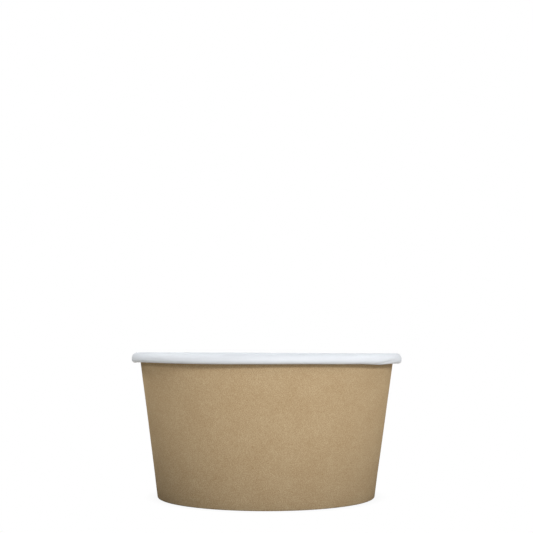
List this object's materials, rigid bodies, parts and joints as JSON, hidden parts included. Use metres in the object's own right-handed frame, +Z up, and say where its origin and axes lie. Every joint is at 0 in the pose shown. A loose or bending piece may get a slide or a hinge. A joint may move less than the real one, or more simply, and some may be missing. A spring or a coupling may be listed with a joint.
{
  "type": "kraft soup cup",
  "caption": "Wide round paper soup cup with a tapered side wall, a rolled-out rim and a base disc set up inside the foot.",
  "frame": {"origin": "centre of the standing ring, on the table plane", "axes": "+Z up through the open mouth, +Y towards the side seam at the back, +X to the right seen from the front"},
  "size_m": [0.115, 0.115, 0.0604],
  "materials": {
    "kraft_board": "matt uncoated brown kraft outside, white lined inside",
    "white_lined_board": "white lined, satin, on the upper face, brown kraft underneath"
  },
  "bodies": {
    "root": {"side_wall": "kraft_board", "base_disc": "white_lined_board"}
  },
  "joints": []
}
